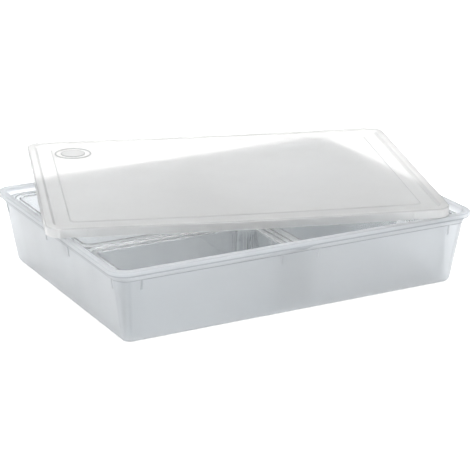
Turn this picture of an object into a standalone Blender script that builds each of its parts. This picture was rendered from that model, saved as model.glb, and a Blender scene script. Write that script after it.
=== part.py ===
"""Shallow storage box: a moulded tub, its loose lid and four clear lift-out trays.

Metres, +Z up, +X along the long side. The origin is the centre of the tub's underside.
"""
import math

import bmesh
import bpy
from mathutils import Matrix

MM = 0.001
GAP = 0.3 * MM                    # clearance between pieces that rest on each other
CORNER_STEPS = 8                  # facets in each rounded corner
CORNER_TAPER = 0.6                # how fast a corner's radius shrinks as its ring is inset

# Tub, measured over the outer edge of its rim
TUB_LENGTH = 400 * MM
TUB_WIDTH = 305 * MM
TUB_HEIGHT = 77 * MM
TUB_CORNER = 18 * MM
TUB_WALL = 1.8 * MM
TUB_FLOOR = 2.0 * MM
RIM_LAND = 7 * MM                 # flat top of the rim, from its outer to its inner edge
RIM_EDGE = 0.8 * MM               # rounding of the rim's edges
RIM_SKIRT = 5.5 * MM              # depth of the rim's turned-down skirt
SHOULDER_DROP = 11 * MM           # rim top to the step in the wall
SHOULDER_STEP = 0.7 * MM          # how far the wall steps in at the shoulder
SHOULDER_FALL = 0.8 * MM          # height of the step's slope
RIM_LEAN = 0.2 * MM               # how far the wall leans in between rim and shoulder
BASE_INSET = 16.5 * MM            # rim's outer edge to the wall line at the underside
BASE_ROUND = 6 * MM               # rounding between wall and underside

# Short upright ribs outside the wall, just below the shoulder
RIB_WIDTH = 2.2 * MM
RIB_HEIGHT = 10 * MM
RIB_PROUD = 0.8 * MM
RIB_DROP = 11.5 * MM              # rim top to the ribs' upper end
LONG_WALL_RIBS = (-170 * MM, -20 * MM, 20 * MM, 170 * MM)
SHORT_WALL_RIBS = (-130 * MM, -28 * MM, 28 * MM, 130 * MM)

# Lid, measured over its skirt
LID_LENGTH = 404 * MM
LID_WIDTH = 310 * MM
LID_HEIGHT = 9.5 * MM
LID_CORNER = 16 * MM
LID_WALL = 1.4 * MM
LID_EDGE = 1.5 * MM               # rounding between skirt and top
LID_LAND = 8.0 * MM               # raised band that lies on the tub's rim
LID_SINK = 2.5 * MM               # border's depth below the land
LID_SLOPE = 2.5 * MM              # run of the slope from land to border
PANEL_INSET = 25.0 * MM           # skirt to the edge of the centre panel
PANEL_RISE = 1.0 * MM             # centre panel above the border

# Plain round boss on the lid, near its rear left corner
BOSS_FROM_END = 48 * MM
BOSS_FROM_BACK = 47 * MM
BOSS_RING_RADIUS = 20 * MM
BOSS_RING_WIDTH = 1.6 * MM
BOSS_DISC_RADIUS = 13.3 * MM
BOSS_RISE = 0.8 * MM
BOSS_STEPS = 32

# Where the lid lies: flat on the rim, turned and pushed back so that the front stays open
LID_AT_X = 25.0 * MM
LID_AT_Y = 54.1 * MM
LID_TURN = math.radians(-18.5)

# Trays, measured over the flange
TRAY_LENGTH = 191 * MM
FRONT_TRAY_DEPTH = 91.3 * MM
REAR_TRAY_DEPTH = 196.3 * MM
TRAY_HEIGHT = 68 * MM
TRAY_CORNER = 16 * MM
TRAY_WALL = 1.5 * MM
TRAY_FLOOR = 1.6 * MM
FLANGE_WIDTH = 11.5 * MM
FLANGE_LIP = 3.2 * MM             # depth of the flange's turned-down edge
FLANGE_STEP_INSET = 5.5 * MM      # outer edge to the step in the flange
FLANGE_STEP = 0.8 * MM            # inner part of the flange below the outer part
TRAY_DRAFT = 3.0 * MM             # how far the wall leans in from flange to floor
TRAY_ROUND = 5 * MM               # rounding between wall and floor

# Places of the trays' centres; they stand loosely on the tub's floor
TRAYS_X = 96 * MM                 # left and right of the middle
FRONT_TRAYS_Y = -98.65 * MM
REAR_TRAYS_Y = 46.15 * MM


def clear_scene():
    for item in list(bpy.data.objects):
        bpy.data.objects.remove(item, do_unlink=True)


def plastic(name, colour, roughness, transmission):
    material = bpy.data.materials.new(name)
    material.use_nodes = True
    shader = material.node_tree.nodes["Principled BSDF"]
    shader.inputs["Base Color"].default_value = (*colour, 1.0)
    shader.inputs["Roughness"].default_value = roughness
    shader.inputs["Metallic"].default_value = 0.0
    shader.inputs["Transmission Weight"].default_value = transmission
    material.diffuse_color = (*colour, 1.0)
    return material


def rounded_rectangle(half_x, half_y, radius, height):
    """Points of a rounded rectangle, anticlockwise, starting on the +X side."""
    points = []
    for quarter, (side_x, side_y) in enumerate(((1, 1), (-1, 1), (-1, -1), (1, -1))):
        for step in range(CORNER_STEPS + 1):
            angle = math.radians(90) * (quarter + step / CORNER_STEPS)
            x = side_x * (half_x - radius) + radius * math.cos(angle)
            y = side_y * (half_y - radius) + radius * math.sin(angle)
            points.append((x, y, height))
    return points


def arc(centre, radius, start, end, steps):
    """(inset, height) points of an arc; angles in degrees, 0 towards the middle, 90 up."""
    points = []
    for step in range(steps + 1):
        angle = math.radians(start + (end - start) * step / steps)
        points.append((centre[0] + radius * math.cos(angle), centre[1] + radius * math.sin(angle)))
    return points


def moulding(name, length, width, corner, profile, material):
    """A closed body: (inset, height) points swept round a rounded rectangle.

    The insets are measured inwards from the outer edge. The first point's ring and
    the last point's ring are closed with flat faces.
    """
    mesh = bpy.data.meshes.new(name)
    body = bmesh.new()
    rings = []
    for inset, height in profile:
        radius = corner - CORNER_TAPER * min(inset, corner)
        ring = rounded_rectangle(length / 2 - inset, width / 2 - inset, radius, height)
        rings.append([body.verts.new(point) for point in ring])
    for lower, upper in zip(rings, rings[1:]):
        for index in range(len(lower)):
            after = (index + 1) % len(lower)
            body.faces.new((lower[index], lower[after], upper[after], upper[index]))
    body.faces.new(rings[0])
    body.faces.new(rings[-1])
    bmesh.ops.recalc_face_normals(body, faces=body.faces)
    body.to_mesh(mesh)
    body.free()
    mesh.materials.append(material)
    mesh.shade_smooth()
    mesh.set_sharp_from_angle(angle=math.radians(35))
    item = bpy.data.objects.new(name, mesh)
    bpy.context.collection.objects.link(item)
    return item


def helper(name, body):
    """An object for a Boolean only, left out of the model itself."""
    mesh = bpy.data.meshes.new(name)
    bmesh.ops.recalc_face_normals(body, faces=body.faces)
    body.to_mesh(mesh)
    body.free()
    item = bpy.data.objects.new(name, mesh)
    item.hide_render = True
    item.display_type = "WIRE"
    bpy.context.collection.objects.link(item)
    return item


def join_to(item, addition):
    union = item.modifiers.new(addition.name, "BOOLEAN")
    union.operation = "UNION"
    union.solver = "EXACT"
    union.object = addition


def block(body, size, centre, lean, axis):
    turn = Matrix.Rotation(lean, 4, axis)
    place = Matrix.Translation(centre) @ turn @ Matrix.Diagonal((*size, 1.0))
    bmesh.ops.create_cube(body, size=1.0, matrix=place)


def wall_inset(height):
    """Inset of the tub's outer wall face at a height below the shoulder."""
    top = TUB_HEIGHT - SHOULDER_DROP - SHOULDER_FALL
    at_top = RIM_LAND - TUB_WALL + RIM_LEAN + SHOULDER_STEP
    return at_top + (BASE_INSET - at_top) * (top - height) / top


def tub_profile():
    """Inner floor, up the inside, over the rim and its skirt, down the outside, underside."""
    shoulder = TUB_HEIGHT - SHOULDER_DROP
    under_rim = TUB_HEIGHT - TUB_WALL
    foot = wall_inset(BASE_ROUND)
    inner_round = BASE_ROUND - TUB_WALL
    inner_foot = foot + TUB_WALL
    points = [(inner_foot + inner_round + 20 * MM, TUB_FLOOR)]
    points += arc((inner_foot + inner_round, TUB_FLOOR + inner_round), inner_round, 270, 180, 3)
    points += [(RIM_LAND + RIM_LEAN + SHOULDER_STEP, shoulder - SHOULDER_FALL)]
    points += [(RIM_LAND + RIM_LEAN, shoulder)]
    points += arc((RIM_LAND - RIM_EDGE, TUB_HEIGHT - RIM_EDGE), RIM_EDGE, 0, 90, 2)
    points += arc((RIM_EDGE, TUB_HEIGHT - RIM_EDGE), RIM_EDGE, 90, 180, 2)
    points += [(0, TUB_HEIGHT - RIM_SKIRT), (TUB_WALL, TUB_HEIGHT - RIM_SKIRT)]
    points += [(TUB_WALL, under_rim), (RIM_LAND - TUB_WALL, under_rim)]
    points += [(RIM_LAND + RIM_LEAN - TUB_WALL, shoulder - 0.3 * MM)]
    points += [(wall_inset(shoulder - SHOULDER_FALL), shoulder - SHOULDER_FALL)]
    points += arc((foot + BASE_ROUND, BASE_ROUND), BASE_ROUND, 180, 270, 4)
    points += [(foot + BASE_ROUND + 20 * MM, 0)]
    return points


def tub_ribs():
    """Short ribs on all four walls, leaning with the wall, sunk into it and a little proud."""
    body = bmesh.new()
    middle = TUB_HEIGHT - RIB_DROP - RIB_HEIGHT / 2
    face = wall_inset(middle)
    depth = TUB_WALL / 2 + RIB_PROUD
    out = RIB_PROUD - depth / 2
    lean = math.atan((wall_inset(0) - face) / middle)
    for side in (-1, 1):
        for x in LONG_WALL_RIBS:
            y = side * (TUB_WIDTH / 2 - face + out)
            block(body, (RIB_WIDTH, depth, RIB_HEIGHT), (x, y, middle), -side * lean, "X")
        for y in SHORT_WALL_RIBS:
            x = side * (TUB_LENGTH / 2 - face + out)
            block(body, (depth, RIB_WIDTH, RIB_HEIGHT), (x, y, middle), side * lean, "Y")
    return helper("tub_rib_shapes", body)


def make_tub(material):
    tub = moulding("tub", TUB_LENGTH, TUB_WIDTH, TUB_CORNER, tub_profile(), material)
    join_to(tub, tub_ribs())
    return tub


def lid_profile():
    """Centre panel, border, slope, land, edge, skirt, and back along the underside."""
    border = LID_HEIGHT - LID_SINK
    panel = border + PANEL_RISE
    slope_end = LID_LAND + LID_SLOPE
    points = [(PANEL_INSET + 1.2 * MM, panel), (PANEL_INSET, border), (slope_end, border)]
    points += [(LID_LAND, LID_HEIGHT)]
    points += arc((LID_EDGE, LID_HEIGHT - LID_EDGE), LID_EDGE, 90, 180, 3)
    points += [(0, 0), (LID_WALL, 0), (LID_WALL, LID_HEIGHT - LID_WALL)]
    points += [(LID_LAND - 0.6 * MM, LID_HEIGHT - LID_WALL)]
    points += [(slope_end - 0.6 * MM, border - LID_WALL), (PANEL_INSET + 0.5 * MM, border - LID_WALL)]
    points += [(PANEL_INSET + 1.7 * MM, panel - LID_WALL)]
    return points


def boss_shape():
    """A flat ring and a blank disc inside it, both low and rising out of the lid's panel."""
    body = bmesh.new()
    bottom = LID_HEIGHT - LID_SINK + PANEL_RISE - LID_WALL / 2
    top = LID_HEIGHT - LID_SINK + PANEL_RISE + BOSS_RISE
    x = BOSS_FROM_END - LID_LENGTH / 2
    y = LID_WIDTH / 2 - BOSS_FROM_BACK
    circles = {}
    for radius in (BOSS_RING_RADIUS, BOSS_RING_RADIUS - BOSS_RING_WIDTH, BOSS_DISC_RADIUS):
        for height in (bottom, top):
            ring = []
            for step in range(BOSS_STEPS):
                angle = math.tau * step / BOSS_STEPS
                point = (x + radius * math.cos(angle), y + radius * math.sin(angle), height)
                ring.append(body.verts.new(point))
            circles[radius, height] = ring
    outer, inner, disc = (
        BOSS_RING_RADIUS, BOSS_RING_RADIUS - BOSS_RING_WIDTH, BOSS_DISC_RADIUS)
    bands = [((outer, bottom), (outer, top)), ((outer, top), (inner, top)),
             ((inner, top), (inner, bottom)), ((inner, bottom), (outer, bottom)),
             ((disc, bottom), (disc, top))]
    for first, second in bands:
        for step in range(BOSS_STEPS):
            after = (step + 1) % BOSS_STEPS
            body.faces.new((circles[first][step], circles[first][after],
                            circles[second][after], circles[second][step]))
    body.faces.new(circles[disc, bottom])
    body.faces.new(circles[disc, top])
    return helper("lid_boss_shapes", body)


def make_lid(material):
    lid = moulding("lid", LID_LENGTH, LID_WIDTH, LID_CORNER, lid_profile(), material)
    boss = boss_shape()
    join_to(lid, boss)
    for item in (lid, boss):
        item.location = (LID_AT_X, LID_AT_Y, TUB_HEIGHT + GAP)
        item.rotation_euler = (0, 0, LID_TURN)
    return lid


def tray_profile():
    """Inner floor, up the inside, out along the stepped flange, lip, down the outside."""
    top = TRAY_HEIGHT
    ledge = top - FLANGE_STEP
    under = ledge - TRAY_WALL
    inner_foot = FLANGE_WIDTH + TRAY_DRAFT
    outer_foot = inner_foot - TRAY_WALL
    inner_round = TRAY_ROUND - TRAY_WALL
    points = [(inner_foot + inner_round + 6 * MM, TRAY_FLOOR)]
    points += arc((inner_foot + inner_round, TRAY_FLOOR + inner_round), inner_round, 270, 180, 3)
    points += arc((FLANGE_WIDTH - 0.7 * MM, ledge - 0.7 * MM), 0.7 * MM, 0, 90, 2)
    points += [(FLANGE_STEP_INSET + 0.8 * MM, ledge), (FLANGE_STEP_INSET, top)]
    points += arc((0.7 * MM, top - 0.7 * MM), 0.7 * MM, 90, 180, 2)
    points += [(0, top - FLANGE_LIP), (TRAY_WALL, top - FLANGE_LIP)]
    points += [(TRAY_WALL, under), (FLANGE_WIDTH - TRAY_WALL, under)]
    points += arc((outer_foot + TRAY_ROUND, TRAY_ROUND), TRAY_ROUND, 180, 270, 4)
    points += [(outer_foot + TRAY_ROUND + 6 * MM, 0)]
    return points


def make_tray(name, depth, x, y, material):
    tray = moulding(name, TRAY_LENGTH, depth, TRAY_CORNER, tray_profile(), material)
    tray.location = (x, y, TUB_FLOOR + GAP)
    return tray


def main():
    clear_scene()
    frosted = plastic("tub_plastic", (0.80, 0.84, 0.87), 0.42, 0.6)
    frosted_lid = plastic("lid_plastic", (0.84, 0.85, 0.85), 0.38, 0.6)
    clear = plastic("tray_plastic", (0.93, 0.95, 0.96), 0.08, 0.9)
    make_tub(frosted)
    make_lid(frosted_lid)
    for end, x in (("left", -TRAYS_X), ("right", TRAYS_X)):
        make_tray(f"front_{end}_tray", FRONT_TRAY_DEPTH, x, FRONT_TRAYS_Y, clear)
        make_tray(f"rear_{end}_tray", REAR_TRAY_DEPTH, x, REAR_TRAYS_Y, clear)


main()
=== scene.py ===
"""Frosted storage box with a loose lid and four clear trays: detailed surfaces for the CAD frame."""
import math

import bmesh
import bpy
from mathutils import Matrix, Vector
from mathutils.kdtree import KDTree


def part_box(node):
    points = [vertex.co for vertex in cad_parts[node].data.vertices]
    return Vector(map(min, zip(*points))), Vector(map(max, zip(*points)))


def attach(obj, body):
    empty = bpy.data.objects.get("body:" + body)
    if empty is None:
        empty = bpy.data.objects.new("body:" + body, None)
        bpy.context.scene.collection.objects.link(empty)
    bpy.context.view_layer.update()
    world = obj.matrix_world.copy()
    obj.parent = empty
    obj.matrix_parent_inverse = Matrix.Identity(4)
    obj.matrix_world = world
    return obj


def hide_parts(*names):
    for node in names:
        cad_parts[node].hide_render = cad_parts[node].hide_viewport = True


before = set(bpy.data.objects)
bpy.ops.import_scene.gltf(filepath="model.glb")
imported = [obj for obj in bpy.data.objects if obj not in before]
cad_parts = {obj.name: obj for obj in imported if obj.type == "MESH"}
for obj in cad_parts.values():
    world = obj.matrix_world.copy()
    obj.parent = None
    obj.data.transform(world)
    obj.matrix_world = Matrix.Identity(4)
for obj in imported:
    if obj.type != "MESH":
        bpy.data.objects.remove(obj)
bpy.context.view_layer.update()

MM = 0.001
CORNER_STEPS = 20                 # faces round each corner
SIDE_STEPS = 36                   # faces along each straight side
CORNER_TAPER = 0.6                # how fast a corner's radius shrinks as its ring is inset
ARC_STEPS = 5                     # faces in each rounded edge of a section
SAME_PLACE = 0.02 * MM            # vertices closer than this are one and the same
SHARP_ANGLE = math.radians(40)    # edges turning more than this stay sharp
SIDE_GATHER = 1.6                 # power by which a side's faces gather at its middle
FILLET_SHARE = 0.48               # most of a stretch that one rounded corner may take up
BEVEL_SHARE = 0.3                 # bevel of a small bar, as a share of its thinnest side
NOISE_LOW = 0.3                   # noise below this counts as none
NOISE_HIGH = 0.7                  # and above this as full

# Tub, measured from the outer edge of its rim
TUB_CORNER = 18 * MM
TUB_WALL = 1.8 * MM
TUB_FLOOR = 2.0 * MM
TUB_PIECE = 14 * MM               # longest face along the tub's section
TUB_FLOOR_MARGIN = 20 * MM        # width of the floor's outer band of faces
RIM_LAND = 7 * MM                 # flat top of the rim
RIM_SKIRT = 5.5 * MM              # depth of the rim's turned-down skirt
RIM_LEAN = 0.2 * MM               # how far the wall leans in between rim and shoulder
SKIRT_SHADE_BAND = 1.4 * MM             # height of the band of painted shade along the skirt's foot
SKIRT_SHADE_FADE = 0.3 * MM
SKIRT_DIP = 2.2 * MM              # extra depth of the skirt at the middle of the long walls
SKIRT_DIP_HALF = 13 * MM          # half the dip's length
SKIRT_DIP_REACH = 1.5 * MM        # height of the skirt's foot that the dip stretches
SKIRT_DIP_FADE = 1.0 * MM
SHOULDER_DROP = 11 * MM           # rim top to the step in the wall
SHOULDER_STEP = 0.7 * MM
SHOULDER_FALL = 0.8 * MM
BASE_INSET = 16.5 * MM            # the wall's inset at the underside
BASE_ROUND = 6 * MM
CORNER_SHADE_STRENGTH = 0.22         # strength of the two bands of painted shade down each outer corner
CORNER_BAND_PLACE = 0.36          # corner's middle to a band, as a share of the corner
CORNER_BAND_HALF = 0.14           # half a band's width, as such a share
RIB_SIZE = (2.2 * MM, 1.7 * MM, 10 * MM)    # width, depth, height
RIB_PROUD = 0.8 * MM
RIB_DROP = 11.5 * MM              # rim top to the ribs' upper end
RIB_SHADE = 0.05                 # strength of the painted shade on the ribs
END_RIB_SHADE = 0.4              # and those near the ends of the long walls
LONG_WALL_RIBS = (-170 * MM, -20 * MM, 20 * MM, 170 * MM)
SHORT_WALL_RIBS = (-130 * MM, -28 * MM, 28 * MM, 130 * MM)

# Lid, measured over its skirt
LID_LENGTH = 404 * MM
LID_WIDTH = 310 * MM
LID_TURN = math.radians(-18.5)
LID_CORNER = 16 * MM
LID_WALL = 1.4 * MM
LID_PIECE = 12 * MM               # longest face along the lid's section
LID_LAND = 8.0 * MM               # raised band that lies on the tub's rim
LID_SINK = 2.5 * MM               # border's depth below the land
LID_SLOPE = 2.5 * MM              # run of the slope from land to border
LID_SLOPE_SHIFT = 0.6 * MM        # how far out the slope's underside lies from its top
PANEL_INSET = 25.0 * MM           # skirt to the edge of the centre panel
PANEL_RISE = 1.0 * MM             # centre panel above the border
PANEL_SLOPE = 1.2 * MM            # run of the step up to the panel
PANEL_SLOPE_SHIFT = 0.5 * MM      # how far in the step's underside lies from its top
PANEL_CORE = 8 * MM               # half width of the strip that closes the panel's middle
BACK_SAG = 0.9 * MM               # how far the middle of the back edge hangs
FRONT_SAG = 1.6 * MM              # and the middle of the front edge
SAG_FADE = 1.5                    # power by which the sag dies out towards the lid's ends
LID_TICK_FROM_END = 40 * MM
LID_TICK_SIZE = (1.2 * MM, 1.2 * MM, 5.5 * MM)
LID_TICK_PROUD = 0.4 * MM         # how far a tick stands out of the skirt's face
LID_TICK_DROP = 0.6 * MM          # a tick's middle below the skirt's middle
# painted shade on the small ticks on the lid's skirt
LID_TICK_SHADE = 0.1

# Blank round boss near the lid's rear left corner
BOSS_FROM_END = 48 * MM
BOSS_FROM_BACK = 47 * MM
BOSS_RING_RADIUS = 20 * MM
BOSS_RING_WIDTH = 1.6 * MM
BOSS_DISC_RADIUS = 13.3 * MM
BOSS_RISE = 0.8 * MM
BOSS_EDGE = 0.3 * MM              # bevel of the ring's and the disc's edges
BOSS_DISC_SHADE_BAND = 1.2 * MM         # width of the band of painted shade at the edge of the disc's top
BOSS_DISC_FADE = 3 * MM           # disc's edge to its evenly darkened middle
BOSS_STEPS = 72

# Trays, measured over the flange
TRAY_CORNER = 16 * MM
TRAY_WALL = 1.5 * MM
TRAY_FLOOR = 1.6 * MM
TRAY_PIECE = 5 * MM               # longest face along a tray's section
TRAY_FLOOR_MARGIN = 6 * MM        # width of the floor's outer band of faces
FLANGE_WIDTH = 11.5 * MM
FLANGE_LIP = 3.2 * MM             # depth of the flange's turned-down edge
FLANGE_STEP_INSET = 5.5 * MM      # outer edge to the step in the flange
FLANGE_STEP = 0.8 * MM            # inner part of the flange below the outer part
FLANGE_STEP_RUN = 0.9 * MM
TRAY_DRAFT = 3.0 * MM             # how far the wall leans in from flange to floor
TRAY_ROUND = 5 * MM
FLUTES = 5                        # shallow hollows round each corner of a tray
FLUTE_DEPTH = 0.7 * MM
FLUTE_HEADROOM = 5 * MM           # flange to the flutes' upper end
FLUTE_FOOT = 8 * MM               # height of their lower end
FLUTE_FADE = 4 * MM
FLUTE_SHADE = 0.5                # strength of the painted shade along the lines between the flutes

FLOOR_RADIUS = 6.0
FLOOR_DROP = 0.3 * MM             # keeps the floor clear of the tub's underside
LIGHT_BOUNCES = 32                # light crosses many walls of clear plastic


# ---------------------------------------------------------------- section and ring helpers

def filleted(corners):
    """A section of (inset, height, painted shade) points, with each of its corners rounded.

    A corner is (inset, height, radius, painted shade, flat): how far painted shade darkens the
    rounded corner, from 0 to 1, and the same for the flat that follows it.
    """
    points = []
    flat_before = 0.0
    for index, (inset, height, radius, painted_shade, flat) in enumerate(corners):
        here = Vector((inset, height))
        if radius <= 0 or index in (0, len(corners) - 1):
            points.append((inset, height, flat))
            flat_before = flat
            continue
        back = Vector(corners[index - 1][:2]) - here
        ahead = Vector(corners[index + 1][:2]) - here
        half = back.angle(ahead) / 2
        room = FILLET_SHARE * min(back.length, ahead.length)
        reach = min(radius / math.tan(half), room)
        radius = reach * math.tan(half)
        middle = (back.normalized() + ahead.normalized()).normalized()
        centre = here + middle * (radius / math.sin(half))
        start = here + back.normalized() * reach - centre
        end = here + ahead.normalized() * reach - centre
        turn = start.angle_signed(end)
        marks = [flat_before] + [painted_shade] * (ARC_STEPS - 1) + [flat]
        for step, mark in enumerate(marks):
            point = centre + Matrix.Rotation(-turn * step / ARC_STEPS, 2) @ start
            points.append((point.x, point.y, mark))
        flat_before = flat
    return points


def divided(points, longest):
    """The section with its long stretches cut into shorter ones."""
    result = [points[0]]
    for first, second in zip(points, points[1:]):
        length = math.dist(first[:2], second[:2])
        pieces = max(1, math.ceil(length / longest))
        for piece in range(1, pieces + 1):
            share = piece / pieces
            result.append(tuple(a + (b - a) * share for a, b in zip(first, second)))
    return result


def side_shares():
    """Places along a straight side from 0 to 1, closer together at its middle."""
    shares = []
    for step in range(1, SIDE_STEPS):
        place = 2 * step / SIDE_STEPS - 1
        shares.append(0.5 + 0.5 * math.copysign(abs(place) ** SIDE_GATHER, place))
    return shares


def outline(half_x, half_y, radius):
    """Points round a rounded rectangle: (x, y, outward direction, share of the corner or None)."""
    points = []
    signs = ((1, 1), (-1, 1), (-1, -1), (1, -1))
    for quarter, (side_x, side_y) in enumerate(signs):
        centre = Vector((side_x * (half_x - radius), side_y * (half_y - radius)))
        for step in range(CORNER_STEPS + 1):
            share = step / CORNER_STEPS
            angle = math.radians(90) * (quarter + share)
            out = Vector((math.cos(angle), math.sin(angle)))
            point = centre + out * radius
            points.append((point.x, point.y, out, share))
        next_x, next_y = signs[(quarter + 1) % 4]
        start = centre + out * radius
        end = Vector((next_x * (half_x - radius), next_y * (half_y - radius))) + out * radius
        for share in side_shares():
            point = start.lerp(end, share)
            points.append((point.x, point.y, out, None))
    return points


def sweep(name, length, width, corner, section, adjust=None):
    """A closed body: the section swept round a rounded rectangle, its two ends closed flat.

    The section's painted shade is kept on each vertex. Adjust gives a point a shift and a painted
    shade of its own, and the higher shade counts.
    """
    mesh = bpy.data.meshes.new(name)
    body = bmesh.new()
    shade_layer = body.verts.layers.float.new("painted_shade")
    rings = []
    for inset, height, painted_shade in section:
        radius = corner - CORNER_TAPER * min(inset, corner)
        ring = []
        for x, y, out, share in outline(length / 2 - inset, width / 2 - inset, radius):
            point = Vector((x, y, height))
            shift, mark = adjust(point, inset, out, share) if adjust else (Vector(), 0.0)
            vertex = body.verts.new(point + shift)
            vertex[shade_layer] = max(painted_shade, mark)
            ring.append(vertex)
        rings.append(ring)
    for lower, upper in zip(rings, rings[1:]):
        for index in range(len(lower)):
            after = (index + 1) % len(lower)
            body.faces.new((lower[index], lower[after], upper[after], upper[index]))
    body.faces.new(rings[0])
    body.faces.new(rings[-1])
    bmesh.ops.recalc_face_normals(body, faces=body.faces)
    body.to_mesh(mesh)
    body.free()
    item = bpy.data.objects.new(name, mesh)
    bpy.context.collection.objects.link(item)
    return item


def marked(body, vertices, painted_shade):
    """Gives the vertices their painted shade."""
    layer = body.verts.layers.float.get("painted_shade")
    for vertex in vertices:
        vertex[layer] = painted_shade


def shape_mesh():
    """An empty bmesh for added shapes, with a layer for their painted shade."""
    body = bmesh.new()
    body.verts.layers.float.new("painted_shade")
    return body


def bar(body, size, centre, painted_shade, lean=0.0, axis="X"):
    """A small bar with rounded edges."""
    place = Matrix.Translation(centre) @ Matrix.Rotation(lean, 4, axis) @ Matrix.Diagonal((*size, 1.0))
    made = bmesh.ops.create_cube(body, size=1.0, matrix=place)
    edges = list({edge for vertex in made["verts"] for edge in vertex.link_edges})
    before = set(body.verts) - set(made["verts"])
    offset = min(size) * BEVEL_SHARE
    bmesh.ops.bevel(body, geom=edges, offset=offset, segments=3, profile=0.5, affect="EDGES")
    marked(body, set(body.verts) - before, painted_shade)


def united(item, body):
    """Joins a bmesh of shapes to the piece as one solid, and carries the shapes' painted shade over.
    """
    mesh = bpy.data.meshes.new("shapes")
    bmesh.ops.recalc_face_normals(body, faces=body.faces)
    layer = body.verts.layers.float.get("painted_shade")
    shades = [vertex[layer] for vertex in body.verts]
    places = KDTree(len(shades))
    for index, vertex in enumerate(body.verts):
        places.insert(vertex.co, index)
    places.balance()
    body.to_mesh(mesh)
    body.free()
    shapes = bpy.data.objects.new("shapes", mesh)
    bpy.context.collection.objects.link(shapes)
    union = item.modifiers.new("union", "BOOLEAN")
    union.operation = "UNION"
    union.solver = "EXACT"
    union.object = shapes
    bpy.context.view_layer.update()
    evaluated = item.evaluated_get(bpy.context.evaluated_depsgraph_get())
    joined = bpy.data.meshes.new_from_object(evaluated)
    painted_shade = joined.attributes["painted_shade"].data
    for index, vertex in enumerate(joined.vertices):
        nearest = places.find(vertex.co)
        if nearest[2] < SAME_PLACE:
            painted_shade[index].value = shades[nearest[1]]
    item.modifiers.clear()
    item.data = joined
    bpy.data.objects.remove(shapes)


def finished(item, material, body, node):
    """Smooth shading, material, and the piece's place in the frame."""
    item.data.materials.clear()
    item.data.materials.append(material)
    item.data.shade_smooth()
    item.data.set_sharp_from_angle(angle=SHARP_ANGLE)
    weighted = item.modifiers.new("weighted", "WEIGHTED_NORMAL")
    weighted.keep_sharp = True
    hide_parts(node)
    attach(item, body)


# ---------------------------------------------------------------- materials

class Nodes:
    """A material's node tree, with short calls to add and link nodes."""

    def __init__(self, name):
        self.material = bpy.data.materials.new(name)
        self.material.use_nodes = True
        self.tree = self.material.node_tree
        self.shader = self.tree.nodes["Principled BSDF"]
        self.place = self.add("ShaderNodeTexCoord").outputs["Object"]

    def add(self, kind, **settings):
        node = self.tree.nodes.new(kind)
        for key, value in settings.items():
            setattr(node, key, value)
        return node

    def link(self, output, target):
        self.tree.links.new(output, target)

    def noise(self, scale, detail=3.0, stretch=(1, 1, 1)):
        mapping = self.add("ShaderNodeMapping")
        mapping.inputs["Scale"].default_value = stretch
        self.link(self.place, mapping.inputs["Vector"])
        texture = self.add("ShaderNodeTexNoise")
        texture.inputs["Scale"].default_value = scale
        texture.inputs["Detail"].default_value = detail
        self.link(mapping.outputs["Vector"], texture.inputs["Vector"])
        return texture.outputs["Fac"]

    def ramp(self, source, low, high):
        ramp = self.add("ShaderNodeValToRGB")
        ramp.color_ramp.elements[0].position = NOISE_LOW
        ramp.color_ramp.elements[1].position = NOISE_HIGH
        ramp.color_ramp.elements[0].color = (*low, 1)
        ramp.color_ramp.elements[1].color = (*high, 1)
        self.link(source, ramp.inputs["Fac"])
        return ramp.outputs["Color"]

    def spread(self, source, low, high):
        span = self.add("ShaderNodeMapRange")
        span.inputs["From Min"].default_value = NOISE_LOW
        span.inputs["From Max"].default_value = NOISE_HIGH
        span.inputs["To Min"].default_value = low
        span.inputs["To Max"].default_value = high
        self.link(source, span.inputs["Value"])
        return span.outputs["Result"]

    def with_painted_shade(self, colour, shade_colour):
        """The colour, turning to the shade colour where the moulding's edges and steps carry painted
        shade.
        """
        painted_shade = self.add("ShaderNodeAttribute", attribute_name="painted_shade")
        mix = self.add("ShaderNodeMix", data_type="RGBA")
        mix.inputs["B"].default_value = (*shade_colour, 1)
        self.link(painted_shade.outputs["Fac"], mix.inputs["Factor"])
        self.link(colour, mix.inputs["A"])
        return mix.outputs["Result"]

    def absorb(self, colour, density):
        """Plastic that takes a little light away over its depth, so that it darkens edge on."""
        volume = self.add("ShaderNodeVolumeAbsorption")
        volume.inputs["Color"].default_value = (*colour, 1)
        volume.inputs["Density"].default_value = density
        self.link(volume.outputs["Volume"], self.tree.nodes["Material Output"].inputs["Volume"])

    def bump(self, source, strength, distance, after=None):
        bump = self.add("ShaderNodeBump")
        bump.inputs["Strength"].default_value = strength
        bump.inputs["Distance"].default_value = distance
        self.link(source, bump.inputs["Height"])
        if after:
            self.link(after, bump.inputs["Normal"])
        return bump.outputs["Normal"]


def frosted_plastic(name, low, high, shade_colour, rough_low, rough_high):
    """Milky moulded polypropylene: cloudy flow, fine grain, painted shade along its edges and steps,
    and a soft, blurred see-through.
    """
    nodes = Nodes(name)
    cloud = nodes.noise(scale=9, detail=4)
    streaks = nodes.noise(scale=30, stretch=(1, 1, 0.15))
    grain = nodes.noise(scale=1600, detail=2)
    nodes.link(nodes.with_painted_shade(nodes.ramp(cloud, low, high), shade_colour), nodes.shader.inputs["Base Color"])
    nodes.link(nodes.spread(streaks, rough_low, rough_high), nodes.shader.inputs["Roughness"])
    ripple = nodes.bump(streaks, strength=0.10, distance=0.3 * MM)
    surface = nodes.bump(grain, strength=0.15, distance=0.05 * MM, after=ripple)
    nodes.link(surface, nodes.shader.inputs["Normal"])
    nodes.shader.inputs["IOR"].default_value = 1.49
    nodes.shader.inputs["Transmission Weight"].default_value = 0.9
    nodes.absorb(colour=(0.72, 0.75, 0.77), density=40)
    return nodes.material


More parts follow.
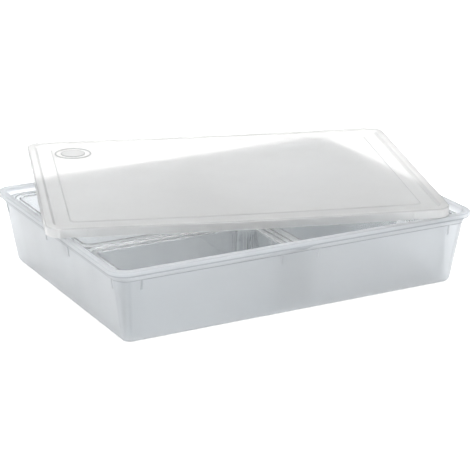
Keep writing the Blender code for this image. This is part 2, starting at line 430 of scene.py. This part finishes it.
def clear_plastic(name):
    """Clear glossy polystyrene, with faint haze, slight waviness from moulding and painted shade along
    its edges.
    """
    nodes = Nodes(name)
    cloud = nodes.noise(scale=12)
    waves = nodes.noise(scale=40, detail=2)
    tint = nodes.ramp(cloud, low=(0.92, 0.935, 0.945), high=(0.95, 0.96, 0.965))
    nodes.link(nodes.with_painted_shade(tint, shade_colour=(0.55, 0.58, 0.60)), nodes.shader.inputs["Base Color"])
    nodes.link(nodes.spread(cloud, low=0.03, high=0.07), nodes.shader.inputs["Roughness"])
    nodes.link(nodes.bump(waves, strength=0.06, distance=1.0 * MM), nodes.shader.inputs["Normal"])
    nodes.shader.inputs["IOR"].default_value = 1.55
    nodes.shader.inputs["Transmission Weight"].default_value = 0.9
    nodes.absorb(colour=(0.80, 0.83, 0.84), density=4)
    return nodes.material


def floor_surface():
    """A bright studio floor that gives out a little light of its own, so shadows on it are faint."""
    nodes = Nodes("pale_floor")
    cloud = nodes.noise(scale=3, detail=2)
    tone = nodes.ramp(cloud, low=(0.74, 0.74, 0.74), high=(0.76, 0.76, 0.76))
    nodes.link(tone, nodes.shader.inputs["Base Color"])
    nodes.shader.inputs["Roughness"].default_value = 0.9
    nodes.shader.inputs["Specular IOR Level"].default_value = 0.0
    nodes.shader.inputs["Emission Color"].default_value = (1, 1, 1, 1)
    nodes.shader.inputs["Emission Strength"].default_value = 0.55
    return nodes.material


# ---------------------------------------------------------------- tub

def tub_wall_inset(height, tub_height):
    """Inset of the tub's outer wall face at a height below the shoulder."""
    top = tub_height - SHOULDER_DROP - SHOULDER_FALL
    at_top = RIM_LAND - TUB_WALL + RIM_LEAN + SHOULDER_STEP
    return at_top + (BASE_INSET - at_top) * (top - height) / top


def make_tub(material):
    low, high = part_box("tub")
    size = high - low
    shoulder = size.z - SHOULDER_DROP
    below = shoulder - SHOULDER_FALL
    under_rim = size.z - TUB_WALL
    skirt = size.z - RIM_SKIRT
    foot = tub_wall_inset(0, size.z)
    inner_foot = tub_wall_inset(TUB_FLOOR, size.z) + TUB_WALL
    corners = [
        # inset, height, radius, painted shade, painted shade of the flat that follows
        (foot + BASE_ROUND + TUB_FLOOR_MARGIN, TUB_FLOOR, 0, 0, 0),
        (inner_foot, TUB_FLOOR, BASE_ROUND - TUB_WALL, 0.1, 0),
        (RIM_LAND + RIM_LEAN + SHOULDER_STEP, below, 0.6 * MM, 0.2, 0.2),
        (RIM_LAND + RIM_LEAN, shoulder, 0.6 * MM, 0.2, 0),
        (RIM_LAND, size.z, 1.0 * MM, 0, 0),
        (0, size.z, 0.9 * MM, 0.35, 0.1),
        # a band of painted shade along the skirt's foot, darkest at the foot itself
        (0, skirt + SKIRT_SHADE_BAND + SKIRT_SHADE_FADE, 0, 0, 0.1),
        (0, skirt + SKIRT_SHADE_BAND, 0, 0, 0.55),
        (0, skirt, 0.6 * MM, 0.8, 0.9),
        (TUB_WALL, skirt, 0.6 * MM, 0.8, 0),
        (TUB_WALL, under_rim, 0.7 * MM, 0.1, 0),
        (RIM_LAND - TUB_WALL, under_rim, 0.7 * MM, 0.1, 0),
        (RIM_LAND + RIM_LEAN - TUB_WALL, shoulder, 0.6 * MM, 0.6, 0.6),
        (tub_wall_inset(below, size.z), below, 0.6 * MM, 0.6, 0),
        (foot, 0, BASE_ROUND, 0, 0),
        (foot + BASE_ROUND + TUB_FLOOR_MARGIN, 0, 0, 0, 0),
    ]

    def adjust(point, inset, out, share):
        """The skirt's dip at the middle of the long walls, and two bands of painted shade down each
        outer corner.
        """
        shift = Vector()
        above_foot = skirt + SKIRT_DIP_REACH - point.z
        on_skirt = above_foot > 0 and inset < RIM_LAND / 2
        on_long_wall = abs(out.y) > 0.99
        if on_skirt and on_long_wall and abs(point.x) < SKIRT_DIP_HALF:
            along = 0.5 + 0.5 * math.cos(math.pi * point.x / SKIRT_DIP_HALF)
            shift.z = -SKIRT_DIP * min(1.0, above_foot / SKIRT_DIP_FADE) * along
        mark = 0.0
        outside = inset < tub_wall_inset(point.z, size.z) + TUB_WALL / 2
        if share is not None and outside and BASE_ROUND < point.z < below:
            from_band = abs(abs(share - 0.5) - CORNER_BAND_PLACE)
            mark = CORNER_SHADE_STRENGTH * max(0.0, 1 - from_band / CORNER_BAND_HALF)
        return shift, mark

    section = divided(filleted(corners), TUB_PIECE)
    tub = sweep("tub_shell", size.x, size.y, TUB_CORNER, section, adjust)
    ribs = shape_mesh()
    middle = size.z - RIB_DROP - RIB_SIZE[2] / 2
    face = tub_wall_inset(middle, size.z)
    width, depth, height = RIB_SIZE
    out = RIB_PROUD - depth / 2
    lean = math.atan((foot - face) / middle)
    for side in (-1, 1):
        for x in LONG_WALL_RIBS:
            place = (x, side * (size.y / 2 - face + out), middle)
            painted_shade = END_RIB_SHADE if abs(x) > size.x / 4 else RIB_SHADE
            bar(ribs, (width, depth, height), place, painted_shade, -side * lean, "X")
        for y in SHORT_WALL_RIBS:
            place = (side * (size.x / 2 - face + out), y, middle)
            bar(ribs, (depth, width, height), place, RIB_SHADE, side * lean, "Y")
    united(tub, ribs)
    tub.location = ((low.x + high.x) / 2, (low.y + high.y) / 2, low.z)
    finished(tub, material, "tub", "tub")


# ---------------------------------------------------------------- lid

def turned_rings(body, circles):
    """Rings of vertices about the origin from a list of (radius, height, painted shade) points."""
    rings = []
    for radius, height, painted_shade in circles:
        ring = []
        for step in range(BOSS_STEPS):
            angle = math.tau * step / BOSS_STEPS
            ring.append(body.verts.new((radius * math.cos(angle), radius * math.sin(angle), height)))
        marked(body, ring, painted_shade)
        rings.append(ring)
    return rings


def bridge(body, lower, upper):
    """A closed band of faces between two rings."""
    for index in range(len(lower)):
        after = (index + 1) % len(lower)
        body.faces.new((lower[index], lower[after], upper[after], upper[index]))


def boss_shapes(place, bottom, top):
    """A low ring and a blank disc with bevelled edges, as (radius, height, painted shade) sections."""
    edge = BOSS_EDGE
    outer = BOSS_RING_RADIUS
    inner = BOSS_RING_RADIUS - BOSS_RING_WIDTH
    disc = BOSS_DISC_RADIUS
    ring_section = [(outer, bottom, 0.8), (outer, top - edge, 0.8), (outer - edge, top, 0.8),
                    (inner + edge, top, 0.8), (inner, top - edge, 0.7), (inner, bottom, 0.6)]
    disc_section = [(disc, bottom, 0.8), (disc, top - edge, 0.8), (disc - edge, top, 0.8),
                    (disc - BOSS_DISC_SHADE_BAND, top, 0.55), (disc - BOSS_DISC_FADE, top, 0.45)]
    body = shape_mesh()
    rings = turned_rings(body, ring_section + disc_section)
    count = len(ring_section)
    for index in range(count):
        bridge(body, rings[index], rings[(index + 1) % count])
    for lower, upper in zip(rings[count:], rings[count + 1:]):
        bridge(body, lower, upper)
    body.faces.new(rings[count])
    body.faces.new(rings[-1])
    bmesh.ops.translate(body, verts=body.verts, vec=place)
    return body


def make_lid(material):
    low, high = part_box("lid")
    centre = (low + high) / 2
    height = high.z - low.z
    border = height - LID_SINK
    panel = border + PANEL_RISE
    slope_end = LID_LAND + LID_SLOPE
    middle = LID_WIDTH / 2 - PANEL_CORE
    corners = [
        # inset, height, radius, painted shade, painted shade of the flat that follows
        (middle, panel, 0, 0, 0),
        (PANEL_INSET + PANEL_SLOPE, panel, 0.4 * MM, 0.22, 0.22),
        (PANEL_INSET, border, 0.4 * MM, 0.22, 0),
        (slope_end, border, 0.8 * MM, 0.18, 0.18),
        (LID_LAND, height, 0.8 * MM, 0.18, 0),
        (0, height, 1.4 * MM, 0.40, 0),
        (0, 0, 0.4 * MM, 0, 0),
        (LID_WALL, 0, 0.4 * MM, 0, 0),
        (LID_WALL, height - LID_WALL, 0.8 * MM, 0.15, 0),
        (LID_LAND - LID_SLOPE_SHIFT, height - LID_WALL, 0.8 * MM, 0.1, 0.15),
        (slope_end - LID_SLOPE_SHIFT, border - LID_WALL, 0.8 * MM, 0.1, 0),
        (PANEL_INSET + PANEL_SLOPE_SHIFT, border - LID_WALL, 0.4 * MM, 0.25, 0.25),
        (PANEL_INSET + PANEL_SLOPE_SHIFT + PANEL_SLOPE, panel - LID_WALL, 0.4 * MM, 0.25, 0),
        (middle, panel - LID_WALL, 0, 0, 0),
    ]

    def sag(x, y):
        """How far the lid hangs: most at the middle of its front edge, not at all at its ends."""
        along = max(0.0, 1 - (x / (LID_LENGTH / 2)) ** 2) ** SAG_FADE
        forward = min(1.0, max(0.0, (LID_WIDTH / 2 - y) / LID_WIDTH))
        return along * (BACK_SAG + (FRONT_SAG - BACK_SAG) * forward ** 2)

    section = divided(filleted(corners), LID_PIECE)
    lid = sweep("lid_shell", LID_LENGTH, LID_WIDTH, LID_CORNER, section)
    place = Vector((BOSS_FROM_END - LID_LENGTH / 2, LID_WIDTH / 2 - BOSS_FROM_BACK, 0))
    shapes = boss_shapes(place, panel - LID_WALL / 2, panel + BOSS_RISE)
    for side_x in (-1, 1):
        for side_y in (-1, 1):
            x = side_x * (LID_LENGTH / 2 - LID_TICK_FROM_END)
            y = side_y * (LID_WIDTH / 2 - LID_TICK_SIZE[1] / 2 + LID_TICK_PROUD)
            bar(shapes, LID_TICK_SIZE, (x, y, height / 2 - LID_TICK_DROP), LID_TICK_SHADE)
    united(lid, shapes)
    for vertex in lid.data.vertices:
        vertex.co.z -= sag(vertex.co.x, vertex.co.y)
    lid.data.transform(Matrix.Rotation(LID_TURN, 4, "Z"))
    lid.location = (centre.x, centre.y, low.z)
    finished(lid, material, "lid", "lid")


# ---------------------------------------------------------------- trays

def make_tray(node, material):
    low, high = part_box(node)
    size = high - low
    top = size.z
    ledge = top - FLANGE_STEP
    under = ledge - TRAY_WALL
    inner_foot = FLANGE_WIDTH + TRAY_DRAFT
    outer_foot = inner_foot - TRAY_WALL
    corners = [
        # inset, height, radius, painted shade, painted shade of the flat that follows
        (inner_foot + TRAY_ROUND + TRAY_FLOOR_MARGIN, TRAY_FLOOR, 0, 0, 0),
        (inner_foot, TRAY_FLOOR, TRAY_ROUND - TRAY_WALL, 0.1, 0),
        (FLANGE_WIDTH, ledge, 1.0 * MM, 0.1, 0),
        (FLANGE_STEP_INSET + FLANGE_STEP_RUN, ledge, 0.3 * MM, 0.1, 0.1),
        (FLANGE_STEP_INSET, top, 0.3 * MM, 0.1, 0),
        (0, top, 0.8 * MM, 0, 0),
        (0, top - FLANGE_LIP, 0.4 * MM, 0.1, 0.1),
        (TRAY_WALL, top - FLANGE_LIP, 0.4 * MM, 0.1, 0),
        (TRAY_WALL, under, 0.6 * MM, 0, 0),
        (FLANGE_WIDTH - TRAY_WALL, under, 0.6 * MM, 0, 0),
        (outer_foot, 0, TRAY_ROUND, 0, 0),
        (outer_foot + TRAY_ROUND + TRAY_FLOOR_MARGIN, 0, 0, 0, 0),
    ]
    flute_top = ledge - FLUTE_HEADROOM
    wall_line = FLANGE_WIDTH - TRAY_WALL - SAME_PLACE

    def adjust(point, inset, out, share):
        """The hollows down each corner of the wall, with a line of painted shade between each two."""
        if share is None or inset < wall_line:
            return Vector(), 0.0
        room = min(flute_top - point.z, point.z - FLUTE_FOOT)
        strength = min(1.0, max(0.0, room / FLUTE_FADE))
        wave = abs(math.sin(math.pi * FLUTES * share))
        shift = Vector((out.x, out.y, 0)) * (FLUTE_DEPTH * strength * wave)
        return shift, FLUTE_SHADE * strength * (1 - wave)

    section = divided(filleted(corners), TRAY_PIECE)
    tray = sweep(f"{node}_shell", size.x, size.y, TRAY_CORNER, section, adjust)
    tray.location = ((low.x + high.x) / 2, (low.y + high.y) / 2, low.z)
    finished(tray, material, node, node)


# ---------------------------------------------------------------- room

CAMERA_PLACE = (-0.8603, -1.6263, 0.6599)
CAMERA_YAW = math.radians(-28.02)
CAMERA_PITCH = math.radians(-18.66)
CAMERA_LENS = 143.97


def make_camera():
    data = bpy.data.cameras.new("camera")
    data.lens = CAMERA_LENS
    data.sensor_width = 36
    data.clip_end = 50
    camera = bpy.data.objects.new("camera", data)
    camera.location = CAMERA_PLACE
    camera.rotation_euler = (math.radians(90) + CAMERA_PITCH, 0, CAMERA_YAW)
    bpy.context.collection.objects.link(camera)
    bpy.context.scene.camera = camera


def make_floor():
    mesh = bpy.data.meshes.new("floor")
    body = bmesh.new()
    bmesh.ops.create_circle(body, cap_ends=True, radius=FLOOR_RADIUS, segments=96)
    body.to_mesh(mesh)
    body.free()
    floor = bpy.data.objects.new("floor", mesh)
    floor.location.z = -FLOOR_DROP
    mesh.materials.append(floor_surface())
    bpy.context.collection.objects.link(floor)


def area_light(name, place, aim, size, power):
    data = bpy.data.lights.new(name, "AREA")
    data.shape = "RECTANGLE"
    data.size, data.size_y = size
    data.energy = power
    light = bpy.data.objects.new(name, data)
    light.location = place
    light.rotation_euler = (Vector(aim) - Vector(place)).to_track_quat("-Z", "Y").to_euler()
    bpy.context.collection.objects.link(light)


def make_light():
    world = bpy.data.worlds.new("studio")
    bpy.context.scene.world = world
    world.use_nodes = True
    nodes = world.node_tree.nodes
    links = world.node_tree.links
    background = nodes["Background"]
    place = nodes.new("ShaderNodeTexCoord")
    split = nodes.new("ShaderNodeSeparateXYZ")
    ramp = nodes.new("ShaderNodeValToRGB")
    ramp.color_ramp.elements[0].position = 0.0
    ramp.color_ramp.elements[0].color = (0.62, 0.63, 0.65, 1)
    ramp.color_ramp.elements[1].position = 0.8
    ramp.color_ramp.elements[1].color = (0.9, 0.9, 0.9, 1)
    links.new(place.outputs["Generated"], split.inputs["Vector"])
    links.new(split.outputs["Z"], ramp.inputs["Fac"])
    links.new(ramp.outputs["Color"], background.inputs["Color"])
    background.inputs["Strength"].default_value = 1.25
    area_light("key", place=(-0.5, 0.6, 2.4), aim=(0, 0, 0), size=(3.0, 3.0), power=56)
    area_light("fill", place=(1.0, -2.2, 1.0), aim=(0, 0, 0.05), size=(2.2, 1.4), power=30)


def main():
    # Each plastic's darkest colour here is the painted shade along its edges and steps.
    tub_plastic = frosted_plastic(
        "frosted_tub", low=(0.86, 0.885, 0.905), high=(0.89, 0.905, 0.92), shade_colour=(0.22, 0.24, 0.26),
        rough_low=0.36, rough_high=0.46)
    lid_plastic = frosted_plastic(
        "frosted_lid", low=(0.945, 0.94, 0.925), high=(0.965, 0.96, 0.95), shade_colour=(0.22, 0.22, 0.22),
        rough_low=0.30, rough_high=0.38)
    tray_plastic = clear_plastic("clear_tray")
    make_tub(tub_plastic)
    make_lid(lid_plastic)
    for row in ("front", "rear"):
        for end in ("left", "right"):
            make_tray(f"{row}_{end}_tray", tray_plastic)
    make_camera()
    make_floor()
    make_light()
    scene = bpy.context.scene
    scene.view_settings.view_transform = "Standard"
    scene.cycles.max_bounces = LIGHT_BOUNCES
    scene.cycles.transmission_bounces = LIGHT_BOUNCES
    scene.cycles.transparent_max_bounces = LIGHT_BOUNCES


main()
